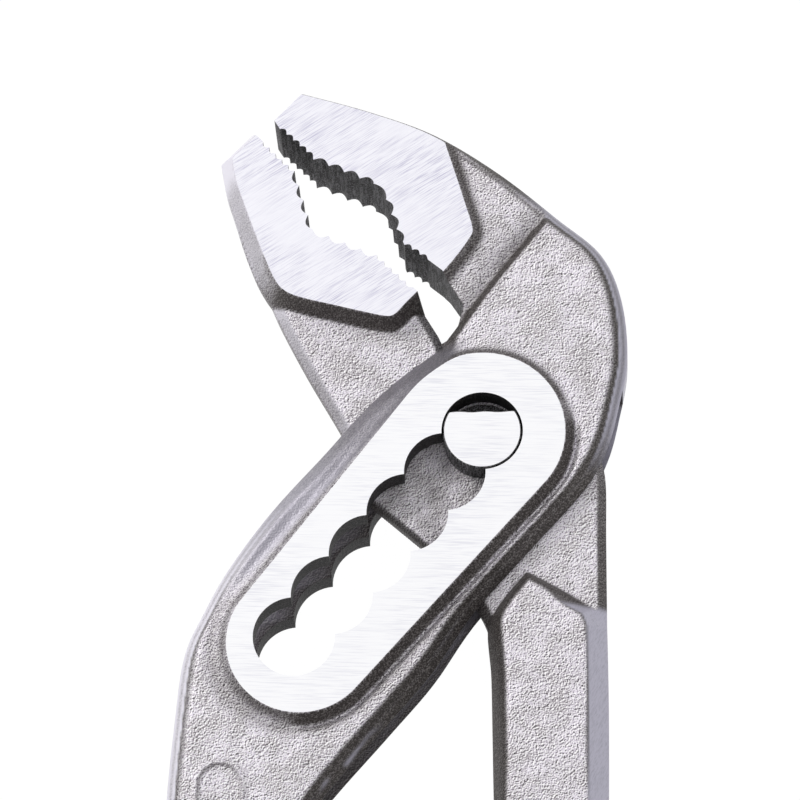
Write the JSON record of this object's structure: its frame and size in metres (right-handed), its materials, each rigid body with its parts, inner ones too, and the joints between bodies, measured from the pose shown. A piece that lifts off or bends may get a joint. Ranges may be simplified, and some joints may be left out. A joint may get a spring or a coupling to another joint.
{
  "type": "water pump pliers",
  "caption": "Slip-joint water pump pliers with angled toothed jaws, a forged box joint with a notched slot, a flatted pivot pin and dipped grips.",
  "frame": {"origin": "on the pivot pin's axis, in the plane of the back ground face that the pliers lie on", "axes": "+Y towards the jaws, +X to the right seen from the front, +Z out of the front face"},
  "size_m": [0.0751, 0.2474, 0.012],
  "materials": {
    "forged_steel": "shot-blasted forging with ground jaw faces",
    "ground_steel": "ground flush, fine scratches",
    "grip_plastic": "dipped soft plastic"
  },
  "bodies": {
    "outer": {"outer_jaw_handle": "forged_steel", "outer_grip": "grip_plastic"},
    "inner": {"inner_jaw_handle": "forged_steel", "pivot_pin": "ground_steel", "inner_grip": "grip_plastic"}
  },
  "joints": [
    {"name": "jaw_pivot", "type": "hinge", "parent": "outer", "child": "inner", "pos_m": [0, 0, 0], "axis": [0, 0, 1], "range_deg": [-3.2, 50]}
  ]
}
